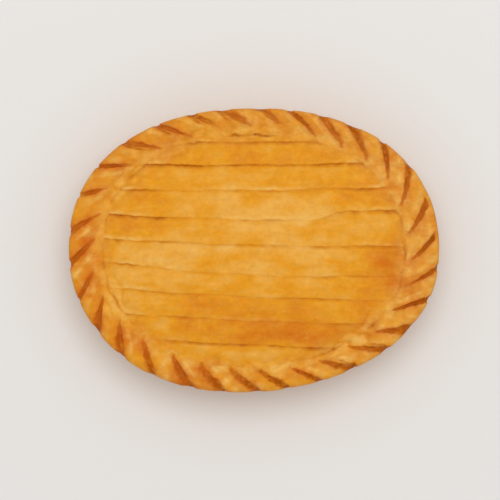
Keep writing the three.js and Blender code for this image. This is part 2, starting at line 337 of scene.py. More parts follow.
# Painted shade, in the creases' glaze colour, in the seam where a strip comes out from under the one
# before it, and round its own lip
SEAM_LAP = 1.0  # how far under that one the painted shade runs
SEAM_START = 0.3
SEAM_REACH = (0.7, 1.2)  # where it is fused, and where it is open
SEAM_POWER = 0.8
SEAM_GRAIN = 0.5
SEAM_SHADE = 0.8
LIP_SHADE = 0.6

# Browning that the oven left: middle, reach and amount of each browner or paler patch
PATCHES = (
    ((86, -2), (15, 9), 0.36),
    ((85, -18), (17, 12), 0.38),
    ((23, -53), (48, 8), 0.40),
    ((-23, -37), (28, 8), 0.18),
    ((-40, -82), (12, 10), 0.18),
    ((12, -82), (22, 8), -0.14),
    ((-74, 34), (22, 6), 0.15),
    ((-72, 15), (28, 6), 0.20),
    ((70, 35), (20, 6), 0.18),
    ((17, 25), (42, 12), -0.08),
    ((38, 21), (14, 5), -0.14),
    ((5, 5), (60, 28), -0.05),
    ((-80, -36), (20, 14), -0.17),
    ((-57, -75), (9, 10), -0.20),
    ((-113, 2), (16, 40), 0.11),
    ((112, 0), (14, 40), 0.06),
    ((5, 84), (60, 9), 0.06),
    ((-86, -60), (14, 12), 0.14),
    ((-95, 54), (13, 14), 0.14),
    ((-30, 82), (14, 8), -0.18),
    ((95, -43), (9, 9), -0.14),
    ((88, 54), (14, 12), 0.13),
    ((30, 88), (20, 6), 0.10),
    ((113, 17), (8, 8), 0.12),
    ((112, -24), (8, 8), 0.10),
    ((64, -57), (16, 8), -0.18),
    ((-91, 12), (8, 6), -0.20),
    ((-24, 29), (11, 6), -0.10),
    ((24, 29), (9, 6), 0.08),
    ((42, 10), (8, 6), -0.10),
    ((-52, -21), (18, 6), -0.09),
    ((-4, -23), (16, 6), 0.09),
    ((72, -25), (14, 6), 0.09),
    ((18, -38), (10, 6), 0.13),
    ((-87, 38), (9, 8), -0.20),
)
# Tones of the crust, from 0 for pale to 1 for brown, and what changes them
RIM_TONE = 0.61
BORDER_TONE = 0.56
FOOT_TONE = 0.95
STRIP_TONES = (0.45, 0.50, 0.42, 0.37, 0.40, 0.32, 0.35, 0.44, 0.46, 0.35)
RIM_MOTTLE = 0.2
STRIP_MOTTLE = 0.12
STAIN_TONE = 0.45
# Painted shade along the strips' seams darkens their tone
SEAM_SHADE_TONE = 0.2
# Painted shade: each fold's back is painted darker from one crease towards the next
FOLD_SHADING = 0.12
# Painted light: the rim's outer edge, which slopes away from the light, is painted paler
EDGE_PAINTED_LIGHT = 0.09
EDGE_BAND = (3, 10)  # insets over which the painted light on the outer edge ends
FAR_SIDE = (10, 70)  # Y over which that painted light fades out towards the far side, which the softbox lights
INNER_BAND = (0.6, 1.0)  # shares of the band over which the rim's tone turns to the border's
# Flour left on the rim: how much, how it leans along X, its spots and its grain
FLOUR = 0.05
FLOUR_LEAN = 0.2
FLOUR_SPOTS = ((0.9, 9, 19),)
FLOUR_GRAIN = 0.6
FLOUR_PALENESS = 0.8
RIDGE_PALENESS = 0.4
# Egg wash: how much the rim got, how it leans, and the height where it ends
RIM_WASH = 0.84
WASH_LEAN = 0.1
WASH_LINE = UNDERSIDE_HEIGHT + 2

# Noise patterns of the crust: how they are drawn out along the strips as a scale along X,
# millimetres across, detail, roughness and distortion
CRUST_NOISES = {
    "cloud": (0.6, 9.0, 4, 0.5, 0.0),
    "blotch": (0.6, 5.0, 6, 0.7, 0.5),
    "streak": (0.18, 3.0, 3, 0.6, 0.0),
    "meal": (1.0, 4.0, 5, 0.75, 0.0),
    "grain": (1.0, 1.1, 3, 0.7, 0.0),
}
BLISTER_SPACING = 8.0
BLISTER_RADII = (0.04, 0.16)  # where a blister's top ends and where it is gone, as shares of the spacing
CLOUD_HEIGHT = 0.5
BLISTER_HEIGHT = 0.12
GRAIN_HEIGHT = 0.1
# How much each pattern changes the crust's colour and gloss
BAKING_STOPS = (0.08, 0.42, 0.95)  # tones at which the crust is pale, golden and brown
CLOUD_TONE = 0.6
STREAK_TONE = 0.2
BLOOM_RANGE = (0.45, 0.75)
BLOOM = 0.25
PALE_SHARE = 1.5
BLISTER_PALENESS = 0.3
DRY_SHARE = 0.65
MEAL_SHADE = 0.5
DRY_MEAL_SHADE = 1.3
MOST_MEAL_SHADE = 0.75
GATHERED_SHARE = 2.2
GATHERED_LOSS = -0.15
DRY_ROUGHNESS = 0.62
WASH_GLOSS = -0.22
CLOUD_ROUGHNESS = 0.2
EGG_IOR = 1.4
EGG_SPECULAR = 0.15

# Stage, in metres: a wide floor, even light with a softbox on the far side, and a camera far above
FLOOR_RADIUS = 4.0
FLOOR_SIDES = 96
FLOOR_ROUGHNESS = 0.9
EVEN_LIGHT = 0.69
SOFTBOX_WIDTH = 0.9
SOFTBOX_POWER = 6.9
SOFTBOX_PLACE = (0.05, 0.34, 1.4)
CAMERA_PLACE = (-2.6 * MM, 0.3 * MM, 1.6 + 45 * MM)  # 1.6 m above the rim's top
FOCAL_LENGTH = 178.5  # this and the sensor are in millimetres
SENSOR_WIDTH = 36


def linear(code):
    """A colour written as sRGB hex, as the linear values that a shader takes."""
    parts = [int(code[i:i + 2], 16) / 255 for i in (0, 2, 4)]
    return tuple(p / 12.92 if p <= 0.04045 else ((p + 0.055) / 1.055) ** 2.4 for p in parts)


class PieSizes(bpy.types.PropertyGroup):
    """Heights, depths and widths of the crust's relief"""

    crease_depth: FloatProperty(
        name="Crease depth", description="Depth of the creases between the rim's folds",
        default=1.8 * MM, min=0, unit="LENGTH")
    crease_width: FloatProperty(
        name="Crease width", description="Width of a usual crease at its widest",
        default=3.7 * MM, min=0, unit="LENGTH")
    fold_camber: FloatProperty(
        name="Fold camber", description="Height of a fold's back above the plain rim",
        default=0.5 * MM, min=0, unit="LENGTH")
    fold_tilt: FloatProperty(
        name="Fold tilt", description="Height by which a fold's one side stands above its other",
        default=0.35 * MM, min=0, unit="LENGTH")
    notch_depth: FloatProperty(
        name="Notch depth", description="Depth of the notch where a crease runs over the rim's edge",
        default=0.8 * MM, min=0, unit="LENGTH")
    ridge_height: FloatProperty(
        name="Ridge height", description="Height of the lumpy ridge where the lid was pressed to the rim",
        default=0.7 * MM, min=0, unit="LENGTH")
    crumple_height: FloatProperty(
        name="Crumple height", description="Height of the wrinkles where the dough crumpled at the border",
        default=0.9 * MM, min=0, unit="LENGTH")
    far_lift: FloatProperty(
        name="Far lift", description="Height of a strip's top above the lid at its far edge",
        default=0.7 * MM, min=0, unit="LENGTH")
    near_lift: FloatProperty(
        name="Near lift", description="Height of a strip's top above the lid where it laps the next",
        default=1.9 * MM, min=0, unit="LENGTH")
    strip_puff: FloatProperty(
        name="Strip puff", description="Camber of a strip between its edges",
        default=0.4 * MM, min=0, unit="LENGTH")
    crust_unevenness: FloatProperty(
        name="Crust unevenness", description="Height of the soft bumps all over the crust",
        default=0.35 * MM, min=0, unit="LENGTH")


class PieColours(bpy.types.PropertyGroup):
    """Colours of the crust and of the floor"""

    pale: FloatVectorProperty(
        name="Pale crust", description="Raised lips and ridges that browned least",
        subtype="COLOR", size=3, min=0, max=1, default=linear("ebb257"))
    golden: FloatVectorProperty(
        name="Golden crust", description="Most of the lid",
        subtype="COLOR", size=3, min=0, max=1, default=linear("e4971e"))
    brown: FloatVectorProperty(
        name="Brown crust", description="Patches that the oven browned most",
        subtype="COLOR", size=3, min=0, max=1, default=linear("ce6712"))
    # This colour also paints the shade in the creases, seams, cracks and wrinkles
    crease: FloatVectorProperty(
        name="Creases", description="Red-brown glaze that gathered in the creases",
        subtype="COLOR", size=3, min=0, max=1, default=linear("a95200"))
    dry: FloatVectorProperty(
        name="Dry sides", description="Pastry of the sides and base, which had no egg wash",
        subtype="COLOR", size=3, min=0, max=1, default=linear("e0a24a"))
    sheen: FloatVectorProperty(
        name="Egg-wash sheen", description="Warm tint of the soft reflections on the crust",
        subtype="COLOR", size=3, min=0, max=1, default=linear("fff1bc"))
    floor: FloatVectorProperty(
        name="Floor", description="Plain pale floor",
        subtype="COLOR", size=3, min=0, max=1, default=linear("e9e7e3"))


def smoothstep(value, low, high):
    share = np.clip((value - low) / (high - low), 0, 1)
    return share * share * (3 - 2 * share)


def between(pair, share):
    return pair[0] + (pair[1] - pair[0]) * share


def bell(value, reach):
    return np.exp(-((value / reach) ** 2))


def rough(points, size, seed):
    """Soft noise from -1 to 1 at points in millimetres, with bumps of about the given size."""
    shift = Vector([seed * step for step in SEED_STEPS])
    flat = np.reshape(points, (-1, 3)) / size
    values = [noise.noise(Vector(p) + shift) for p in flat]
    return np.reshape(values, np.shape(points)[:-1])


def layered(points, layers):
    """Soft noise in layers, each with its amount, size and seed."""
    return sum(amount * rough(points, size, seed) for amount, size, seed in layers)


def along_line(line, x, layers):
    """Soft noise in layers along one of the strips' edges."""
    return sum(
        amount * rough(np.stack([x, 0 * x + size * LINE_STEP * line, 0 * x], axis=-1), size, seed)
        for amount, size, seed in layers
    )


def oval_radius(half_length, half_width, angle):
    power = np.where(np.sin(angle) > 0, FAR_POWER, NEAR_POWER)
    along = np.abs(np.cos(angle)) / half_length
    across = np.abs(np.sin(angle)) / half_width
    return (along ** power + across ** power) ** (-1 / power)


def inset_point(inset, angle):
    """The place on the oval that lies the given inset inside the rim's outer edge."""
    crossed = np.minimum(inset, RIM_BAND)
    scale = (HALF_LENGTH - inset) / (HALF_LENGTH - crossed)
    radius = scale * oval_radius(HALF_LENGTH - crossed, HALF_WIDTH - crossed * SIDE_SHARE, angle)
    return radius * np.cos(angle), radius * np.sin(angle)


def leaned(x, y):
    """X of a place once the pie's near side is drawn over towards -X."""
    return x - LEAN * (np.maximum(0, -y) / HALF_WIDTH) ** LEAN_POWER


EDGE_ANGLES = np.linspace(0, 2 * math.pi, EDGE_SAMPLES)
EDGE_PLACES = np.stack(inset_point(0.0, EDGE_ANGLES), axis=-1)
EDGE_STEPS = np.linalg.norm(np.diff(EDGE_PLACES, axis=0), axis=1)
EDGE_DISTANCES = np.concatenate([[0], np.cumsum(EDGE_STEPS)])
RIM_LENGTH = EDGE_DISTANCES[-1]


def rim_angle(distance):
    """Angle of a place on the rim, given as a distance round its edge."""
    return np.interp(distance % RIM_LENGTH, EDGE_DISTANCES, EDGE_ANGLES)


def fold_distance(place):
    """Distance round the rim's edge to a fold place: 0 is the first crease and 1 the second."""
    turn = 2 * math.pi * place / FOLDS
    wander = sum(
        size * np.cos((wave + 1) * turn - phase)
        for wave, (size, phase) in enumerate(FOLD_WANDER)
    )
    shift = np.interp(place % FOLDS, np.arange(FOLDS + 1), CREASE_SHIFTS + CREASE_SHIFTS[:1])
    return (FOLD_START + place / FOLDS) * RIM_LENGTH + wander + shift


def fold_sweep(place):
    """How far round the rim a crease would run while it crosses the whole band."""
    return FOLD_SWEEP + SWEEP_SWING * np.cos(4 * math.pi * place / FOLDS - SWEEP_PHASE)


def quadratic(start, handle, end, steps):
    t = np.linspace(0, 1, steps + 1)[1:, None]
    return (1 - t) ** 2 * np.array(start) + 2 * t * (1 - t) * np.array(handle) + t ** 2 * np.array(end)


def cubic(start, handle, second, end, steps):
    t = np.linspace(0, 1, steps + 1)[1:, None]
    ends = (1 - t) ** 3 * np.array(start) + t ** 3 * np.array(end)
    return ends + 3 * t * (1 - t) ** 2 * np.array(handle) + 3 * t ** 2 * (1 - t) * np.array(second)


def rim_slope():
    """The rim's top from the lid's border up to its crown: insets and heights."""
    border = (RIM_BAND, BORDER_HEIGHT)
    crown = (CROWN_INSET, CROWN_HEIGHT)
    middle = (CROWN_INSET + RIM_BAND) / 2
    rise = cubic(border, (middle, BORDER_HEIGHT), (middle, CROWN_HEIGHT), crown, SLOPE_RINGS)
    return np.vstack([[border], rise])


def case_section():
    """Half section from under the lid's middle, over the rim, down the wall and under the base.
    Gives insets and heights, and how many of the places lie on top."""
    under_border = RIM_BAND + np.linspace(TUCKED_REACH, 0, TUCKED_RINGS, endpoint=False)
    crown = (CROWN_INSET, CROWN_HEIGHT)
    crown_handle = (CROWN_INSET * (1 - EDGE_FULLNESS), CROWN_HEIGHT)
    edge = (0, EDGE_HEIGHT)
    edge_handle = (0, EDGE_HEIGHT + EDGE_FULLNESS * (CROWN_HEIGHT - EDGE_HEIGHT))
    on_top = np.vstack([
        [(inset, BORDER_HEIGHT) for inset in (*UNDER_LID_INSETS, *under_border)],
        rim_slope(),
        cubic(crown, crown_handle, edge_handle, edge, EDGE_RINGS),
    ])
    underside = (UNDERSIDE_INSET, UNDERSIDE_HEIGHT)
    wall_handle = ((WALL_TOP[0] + FOOT[0]) / 2 - WALL_BULGE, (WALL_TOP[1] + FOOT[1]) / 2)
    below = np.vstack([
        quadratic(edge, (0, UNDERSIDE_HEIGHT), underside, UNDERSIDE_RINGS),
        quadratic(underside, (WALL_TOP[0], UNDERSIDE_HEIGHT), WALL_TOP, SHOULDER_RINGS),
        quadratic(WALL_TOP, wall_handle, FOOT, WALL_RINGS),
        quadratic(FOOT, (FOOT[0], 0), (BASE_INSET, 0), FOOT_RINGS),
        [(inset, 0) for inset in BASE_INSETS],
    ])
    return np.vstack([on_top, below]), len(on_top)


def lid_share(x, y):
    """How far out on the lid a place is: 0 in the middle and 1 at its border."""
    return np.hypot(x, y) / oval_radius(LID_LENGTH, LID_WIDTH, np.arctan2(y, x))


def past_lid(points):
    """How far outside the lid's plain oval a place lies, in millimetres."""
    return (lid_share(points[..., 0], points[..., 1]) - 1) * LID_LENGTH


def outside_border(points):
    """How far outside the lid's border a place lies, in millimetres. The border strays from its oval."""
    return past_lid(points) - layered(points, BORDER_STRAY)


def crust_height(x, y):
    """Height of the plain crust: the lid's dome, and outside it the slope up to the rim's crown."""
    share = lid_share(x, y)
    dome = LID_RISE * (1 - np.minimum(1, share) ** 2) ** DOME_POWER
    insets, heights = rim_slope()[::-1].T
    return dome + np.interp(RIM_BAND - (share - 1) * LID_LENGTH, insets, heights)


def spotted(places, points):
    """What a list of round places adds up to. Each has its middle, reach and amount."""
    return sum(
        amount * bell(np.hypot(points[..., 0] - x, points[..., 1] - y), reach)
        for (x, y), reach, amount in places
    )


def border_ridge(points):
    """How far the lumpy ridge stands up where the lid was pressed to the rim, from 0 to about 1."""
    lumps = RIDGE_SHARE + layered(points, RIDGE_LUMPS)
    return bell(past_lid(points) - RIDGE_OFFSET, RIDGE_REACH) * np.clip(lumps, 0, HIGHEST_LUMP)


def border_cracks(points, outside):
    """How far the lid's border has cracked open, from 0 to 1."""
    opened = spotted(BORDER_CRACKS, points)
    width = CRACK_WIDTH + WIDER_CRACK * smoothstep(opened, *WIDE_AMOUNTS)
    return bell(outside, width) * np.clip(opened, 0, 1)


def crumpled(points):
    """How far the dough is crumpled at the border, from 0 to 1, and how far each place lies from one
    of the wrinkles, which run along the border."""
    away = past_lid(points)
    amount = np.clip(spotted(CRUMPLES, points), 0, 1)
    round_pie = np.arctan2(points[..., 1], points[..., 0]) * HALF_LENGTH / 2
    unrolled = np.stack([round_pie, away, 0 * away], axis=-1)
    return amount * bell(away, CRUMPLE_REACH), np.abs(rough(unrolled, *CRUMPLE_WRINKLES))


def crumple_lines(at):
    # Glaze and painted shade in the crumples' wrinkles
    return WRINKLE_GLAZE_AND_SHADE * at.crumple * bell(at.wrinkle, WRINKLE_WIDTH)


def crumple_tops(at):
    return WRINKLE_FLOUR * at.crumple * smoothstep(at.wrinkle, *WRINKLE_TOPS)


def border_relief(at, sizes):
    """Ridge, crumpled dough and cracks at the lid's border, in millimetres above the plain crust."""
    wrinkled = sizes.crumple_height * at.crumple * (WRINKLE_RISE * at.wrinkle - WRINKLE_SINK)
    return (sizes.ridge_height * at.ridge + wrinkled) / MM - CRACK_DEPTH * at.cracks


def dive(depth):
    """How far a piece sinks under its neighbour, the given distance past the border between them."""
    return np.minimum(BORDER_DIVE * np.maximum(0, depth) ** 2, DEEPEST_DIVE)


def browning(x, y):
    """What the oven's patches add to the crust's tone."""
    return sum(
        amount * bell(x - middle[0], reach[0]) * bell(y - middle[1], reach[1])
        for middle, reach, amount in PATCHES
    )


def rim_wash(x, y):
    """How much egg wash the rim got: least towards its far side and +X end."""
    return RIM_WASH - WASH_LEAN * (x / HALF_LENGTH + y / HALF_WIDTH)


def blank_mesh():
    """An empty bmesh whose vertices can hold the crust's marks."""
    bm = bmesh.new()
    for name in MARKS:
        bm.verts.layers.float.new(name)
    return bm


def skin(bm, points, marks):
    """A grid of faces moved to places in millimetres and marked, both given by row and column.
    The last column is joined to the first."""
    rows, columns = points.shape[:2]
    layers = [(bm.verts.layers.float[name], marks[name]) for name in MARKS]
    made = bmesh.ops.create_grid(bm, x_segments=columns, y_segments=rows - 1, size=1)
    for v in made["verts"]:
        column = round((v.co.x + 1) / 2 * columns) % columns
        row = round((v.co.y + 1) / 2 * (rows - 1))
        v.co = Vector(points[row, column]) * MM
        for layer, table in layers:
            v[layer] = table[row, column]
    bmesh.ops.remove_doubles(bm, verts=made["verts"], dist=JOIN_DISTANCE)


def finish_piece(bm, name, material):
    """Makes the bmesh a smooth piece that stands for the solid pie."""
    bmesh.ops.recalc_face_normals(bm, faces=bm.faces)
    for face in bm.faces:
        face.smooth = True
    mesh = bpy.data.meshes.new(name)
    bm.to_mesh(mesh)
    bm.free()
    mesh.materials.append(material)
    piece = bpy.data.objects.new(name, mesh)
    bpy.context.scene.collection.objects.link(piece)
    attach(piece, "root")
    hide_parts("pie")


def case_grid():
    """Rings and columns of the case, and where each lies on the section, among the folds and by the
    lid's border."""
    at = SimpleNamespace()
    section, top_rings = case_section()
    at.inset = section[:, :1]
    at.height = section[:, 1:]
    at.on_top = (np.arange(len(section)) < top_rings)[:, None]
    at.crossed = at.inset / RIM_BAND
    steps = np.arange(FOLDS * COLUMNS_PER_FOLD) / COLUMNS_PER_FOLD
    at.place = steps - COLUMN_CROWDING * np.sin(2 * math.pi * steps) / (2 * math.pi)
    slanted = FOLD_END * np.tanh((at.crossed / FOLD_END) ** SLANT_TURN) ** (1 / SLANT_TURN)
    bowed = FOLD_BOW * 4 * slanted * (FOLD_END - slanted) / FOLD_END ** 2
    at.distance = fold_distance(at.place) + at.on_top * (bowed - slanted * fold_sweep(at.place))
    x, y = inset_point(at.inset, rim_angle(at.distance))
    level = np.where(at.on_top, 0, at.height - EDGE_HEIGHT) + 0 * x
    at.points = np.stack([x, y, level], axis=-1)
    at.wide = rough(at.points, *WIDE_BUMPS)
    at.fine = rough(at.points, *FINE_BUMPS)
    at.outside = np.where(at.on_top, outside_border(at.points), RIM_BAND)
    at.ridge = border_ridge(at.points) * at.on_top
    at.cracks = border_cracks(at.points, at.outside) * at.on_top
    at.crumple, at.wrinkle = crumpled(at.points)
    at.crumple = at.crumple * at.on_top
    return at


def crease_grid(at, usual_width):
    """Where each place of the case lies by its nearest crease: which one that is and how dark, the share
    of its length, the distance across it and half its width in millimetres, and how worn it is and how
    far it shows there, both from 0 to 1."""
    draw = np.random.default_rng(CREASE_SEED)
    by = SimpleNamespace()
    by.nearest = np.round(at.place).astype(int) % FOLDS
    wedge = draw.uniform(0, 1, FOLDS)[by.nearest]
    by.dark = draw.uniform(*GLAZE_SPREAD, FOLDS)[by.nearest]
    by.along = at.inset / np.array(CREASE_REACHES)[by.nearest]
    lens = np.interp(by.along, *zip(*CREASE_LENS))
    wedged = np.interp(by.along, *zip(*CREASE_WEDGE))
    half = usual_width / 2 * np.array(CREASE_BREADTHS)[by.nearest] * between((lens, wedged), wedge)
    by.half = np.maximum(half * (1 + layered(at.points, CREASE_WAVER)), THINNEST_CREASE)
    by.worn = smoothstep(np.abs(at.points[..., 1]), *LONG_SIDES)
    spacing = np.gradient(fold_distance(at.place)) / np.gradient(at.place)
    slant = np.arctan2(fold_sweep(at.place), (1 + SIDE_SHARE) / 2 * RIM_BAND)
    offset = (at.place - np.round(at.place)) * spacing * np.cos(slant)
    by.across = offset + layered(at.points, CREASE_RAGGEDNESS) * between(RAGGED_SHARE, by.worn)
    begun = np.where(np.isin(by.nearest, INNER_CREASES), smoothstep(at.inset, *CREASE_BEGINNING), 1)
    ended = smoothstep(by.along + layered(at.points, ENDING_WAVER), *CREASE_ENDING)
    by.shown = begun * (1 - ended)
    return by


def press_creases(at, by):
    """The creases as pressed: the share of its fold where each place lies, how far the folds stand out
    there, how far and how deep it lies in a crease, how much glaze and painted shade gathered, how floury
    the fold's back is beside the crease, and the browning round it. Each is from 0 to about 1."""
    pressed = SimpleNamespace()
    pressed.share = at.place - np.floor(at.place)
    pressed.fade = 1 - smoothstep(by.along, *CREASE_FADE)
    bottom = between(TROUGH_BOTTOM, by.worn) * by.half
    top = between(TROUGH_TOP, by.worn) * by.half + TROUGH_EASE
    pressed.trough = (1 - smoothstep(np.abs(by.across), bottom, top)) * by.shown
    strength = 1 + FOLD_UNEVENNESS * np.sin(FOLD_PHASE * by.nearest)
    pressed.depth = pressed.trough * strength * pressed.fade

    x, y = at.points[..., 0], at.points[..., 1]
    lean = CREASE_LEAN[0] * x / HALF_LENGTH + CREASE_LEAN[1] * y / HALF_WIDTH
    dark = by.dark * (CREASE_GLAZE_AND_SHADE + lean) * (1 - CREASE_EASING * smoothstep(by.along, *EASING_REACH))
    drifted = by.across + by.half * layered(at.points, CORE_DRIFT)
    # Glaze and painted shade in the trough, deepest in its core
    core = TROUGH_GLAZE_AND_SHADE * pressed.trough + CORE_GLAZE_AND_SHADE * bell(drifted, CORE_SHARE * by.half) * by.shown
    parted = np.isin(by.nearest, BRANCHED_CREASES) * (1 - smoothstep(by.along, *BRANCH_FADE))
    branch = parted * bell(by.across - by.half - BRANCH_SPREAD * by.along, BRANCH_WIDTH)
    mottle = 1 + between(MOTTLE_SHARE, by.worn) * layered(at.points, GLAZE_MOTTLE)
    pressed.glaze = (dark * core + BRANCH_GLAZE_AND_SHADE * branch) * mottle

    beside = BACK_PALENESS * bell(by.across - by.half - BACK_OFFSET, BACK_REACH)
    pressed.back = beside * by.shown * np.clip(BACK_FLOUR + BACK_GRAIN * at.fine, 0, 1)
    stained = bell(by.across - between(STAIN_SHIFT, by.worn), by.half + between(STAIN_REACH, by.worn))
    pressed.stain = STAIN * stained * by.shown * (1 + at.fine)
    return pressed


def crimped(at, pressed, sizes):
    """Places of the case's mesh, with folds, creases, notches and the unevenness of hand work."""
    up_edge = smoothstep(at.height, EDGE_HEIGHT, CROWN_HEIGHT)
    top = np.where(at.inset < CROWN_INSET, up_edge, 1) * at.on_top
    under_edge = smoothstep(at.height, UNDERSIDE_HEIGHT, EDGE_HEIGHT)
    on_edge = under_edge * (1 - smoothstep(at.inset, 0, CROWN_INSET))
    wall = ~at.on_top * smoothstep(at.height, *WALL_START) * (1 - on_edge)
    back = (1 - pressed.trough) * pressed.fade
    tilted = sizes.fold_camber + sizes.fold_tilt * (0.5 - pressed.share)
    uneven = sizes.crust_unevenness * (at.wide + FINE_SHARE * at.fine)
    relief = (tilted * back - sizes.crease_depth * pressed.depth + uneven) / MM + border_relief(at, sizes)
    sway = FOLD_SWAY * at.on_top * at.wide * (1 - smoothstep(at.crossed, *SWAY_FADE))
    notch = sizes.notch_depth / MM * pressed.depth * on_edge
    wobble = EDGE_WOBBLE * at.wide * on_edge + (WALL_WOBBLE * at.wide + WALL_GRAIN * at.fine) * wall
    x, y = inset_point(at.inset + notch + wobble, rim_angle(at.distance + sway))
    plain = np.where(at.on_top & (at.inset > RIM_BAND), crust_height(x, y), at.height)
    return np.stack([leaned(x, y), y, plain + top * relief - dive(-at.outside)], axis=-1)


def case_marks(at, pressed):
    """Browning, gathered glaze and painted shade, painted light on the outer edge, pale places and egg
    wash of the case.
    """
    x, y = at.points[..., 0], at.points[..., 1]
    washed = np.where(at.on_top, 1, smoothstep(at.height, WASH_LINE, EDGE_HEIGHT))
    floury = FLOUR + FLOUR_LEAN * x / HALF_LENGTH + layered(at.points, FLOUR_SPOTS)
    floury = np.clip(floury + FLOUR_GRAIN * at.fine, 0, 1)
    pale = FLOUR_PALENESS * floury + RIDGE_PALENESS * at.ridge
    pale = np.clip(pale + pressed.back + crumple_tops(at), 0, 1)
    # Painted light on the outer edge, fading out towards the far side
    outer = (1 - smoothstep(at.inset, *EDGE_BAND)) * (1 - smoothstep(y, *FAR_SIDE))
    inner = smoothstep(at.crossed, *INNER_BAND)
    top_tone = between((RIM_TONE, BORDER_TONE), inner) - EDGE_PAINTED_LIGHT * outer
    side_tone = between((FOOT_TONE, RIM_TONE), smoothstep(at.height, 0, WALL_TOP[1]))
    tone = np.where(at.on_top, top_tone, side_tone) + browning(x, y) + RIM_MOTTLE * at.wide
    # Painted shade across each fold's back
    shaded = FOLD_SHADING * (pressed.share - 0.5) * pressed.fade * at.on_top
    return {
        "tone": tone + STAIN_TONE * pressed.stain + shaded,
        # Glaze and painted shade in the creases and the border's wrinkles, painted shade in its cracks
        "crease": np.clip(washed * pressed.glaze + at.cracks + crumple_lines(at), 0, 1),
        "pale": pale * (1 - np.clip(pressed.trough, 0, 1)) * at.on_top,
        "glaze": washed * rim_wash(x, y),
    }


class PIE_OT_case(bpy.types.Operator):
    """Make the case: base, walls and the crimped rim"""

    bl_idname = "pie.make_case"
    bl_label = "Case and crimped rim"

    def execute(self, context):
        sizes = context.scene.pie_sizes
        at = case_grid()
        pressed = press_creases(at, crease_grid(at, sizes.crease_width / MM))
        bm = blank_mesh()
        skin(bm, crimped(at, pressed, sizes), case_marks(at, pressed))
        finish_piece(bm, "pie_case", shortcrust(context.scene.pie_colours))
        return {"FINISHED"}


def edge_middle(edge):
    """Y of the cut edge between two strips where it crosses the pie's middle."""
    return FIRST_EDGE - sum(STRIP_WIDTHS[:edge])


def strip_edge(edge, x):
    """Y of the cut edge between two strips, with the small kinks that a knife and baking leave."""
    bend = EDGE_BOWS[edge] * x * x - EDGE_SLOPES[edge] * x
    wave = EDGE_WAVE * np.sin(2 * math.pi * x / EDGE_WAVE_LENGTH + EDGE_PHASE * edge)
    jog = JOG * smoothstep(x, *JOG_REACH) if edge == JOGGED_EDGE else 0
    return edge_middle(edge) + bend + wave + along_line(edge, x, EDGE_KINKS) + jog


def along_edge(places, edge, x):
    """What a list of places on the strips' edges adds up to along one edge."""
    return sum(amount * bell(x - middle, reach) for middle, reach, amount in places[edge])


def openness(edge, x):
    """How far a strip's near edge has stayed open: 1 is a clean step and 0 is fused to the next."""
    opened = USUAL_OPENNESS + along_edge(OPEN_PLACES, edge, x)
    return np.clip(opened * (1 + along_line(edge, x, OPEN_UNEVENNESS)), LEAST_OPENNESS, 1)


def strip_reach(strip):
    """How far along X a strip is laid: to just past the lid's border at its longer edge."""
    beside = [edge_middle(edge) for edge in (strip - 1, strip) if 0 <= edge <= LAST_EDGE]
    share = min(abs(y) for y in beside) / LID_WIDTH
    return LID_LENGTH * (1 - share ** LID_POWER) ** (1 / LID_POWER) + STRIP_OVERRUN


def strip_grid(strip):
    """Columns along a strip and rows across it: its top, the rounded lip of its near edge and its
    underside, and where each lies on the strip and by the lid's border."""
    at = SimpleNamespace()
    reach = strip_reach(strip)
    x = np.linspace(-reach, reach, round(2 * reach / STRIP_SPACING))
    none = 0 * x
    laps = strip <= LAST_EDGE
    lapped = strip > 0
    far = strip_edge(strip - 1, x) if lapped else none + FIRST_EDGE + FAR_TUCK
    near = strip_edge(strip, x) if laps else none - LID_WIDTH - NEAR_TUCK
    at.step = (openness(strip, x) if laps else none)[:, None]
    at.crack = (openness(strip - 1, x) if lapped else none)[:, None]
    at.lip = (along_edge(PALE_LIPS, strip, x) if laps else none)[:, None]
    at.width = (far - near)[:, None]

    flat = np.sin(np.linspace(0, math.pi / 2, STRIP_ROWS))[None, :]
    turn = np.linspace(0, math.pi / 2, LIP_ROWS + 1)[None, 1:]
    at.from_far = np.hstack([
        -STRIP_LAP + flat * (at.width + STRIP_LAP - LIP_RADIUS),
        at.width - LIP_RADIUS + LIP_RADIUS * np.sin(turn),
        at.width - LIP_UNDERCUT,
        at.width / 2,
        0 * at.width - STRIP_LAP,
    ])
    top_rows = STRIP_ROWS + LIP_ROWS
    at.curled = np.hstack([0 * flat, 1 - np.cos(turn), np.zeros((1, at.from_far.shape[1] - top_rows))])
    at.underneath = (np.arange(at.from_far.shape[1]) >= top_rows)[None, :]

    xs = x[:, None] + 0 * at.from_far
    ys = far[:, None] - at.from_far
    trim = STRIP_TRIM / np.maximum(lid_share(xs, ys), STRIP_TRIM)
    at.points = np.stack([xs * trim, ys * trim, 0 * xs], axis=-1)
    own_size, first_seed = STRIP_BUMPS
    at.wide = rough(at.points, *WIDE_BUMPS)
    at.fine = rough(at.points, *FINE_BUMPS)
    at.own = rough(at.points, own_size, first_seed + strip)
    at.outside = outside_border(at.points)
    at.ridge = border_ridge(at.points)
    at.cracks = border_cracks(at.points, at.outside)
    at.crumple, at.wrinkle = crumpled(at.points)
    at.ending = 1 - smoothstep(at.outside, *STRIP_ENDING)
    return at


def laid(at, sizes):
    """Places of a strip's mesh, laid over the dome and thinned out where it meets the rim."""
    rise = np.clip(at.from_far / at.width, 0, 1)
    drop = (sizes.near_lift - sizes.far_lift) * at.step
    lift = (sizes.far_lift + drop * rise + sizes.strip_puff * 4 * rise * (1 - rise)) / MM * at.ending
    lift = lift - TUCK * smoothstep(-at.from_far, 0, 1)
    lift = lift - (drop / MM * at.ending + LIP_CURL * np.sqrt(at.step)) * at.curled
    bumps = at.wide + FINE_SHARE * at.fine + STRIP_SHARE * at.own * at.ending
    lift = lift + sizes.crust_unevenness * bumps / MM + border_relief(at, sizes)
    lift = np.where(at.underneath, -STRIP_ROOT, lift - dive(at.outside))
    x, y = at.points[..., 0], at.points[..., 1]
    return np.stack([leaned(x, y), y, crust_height(x, y) + lift], axis=-1)


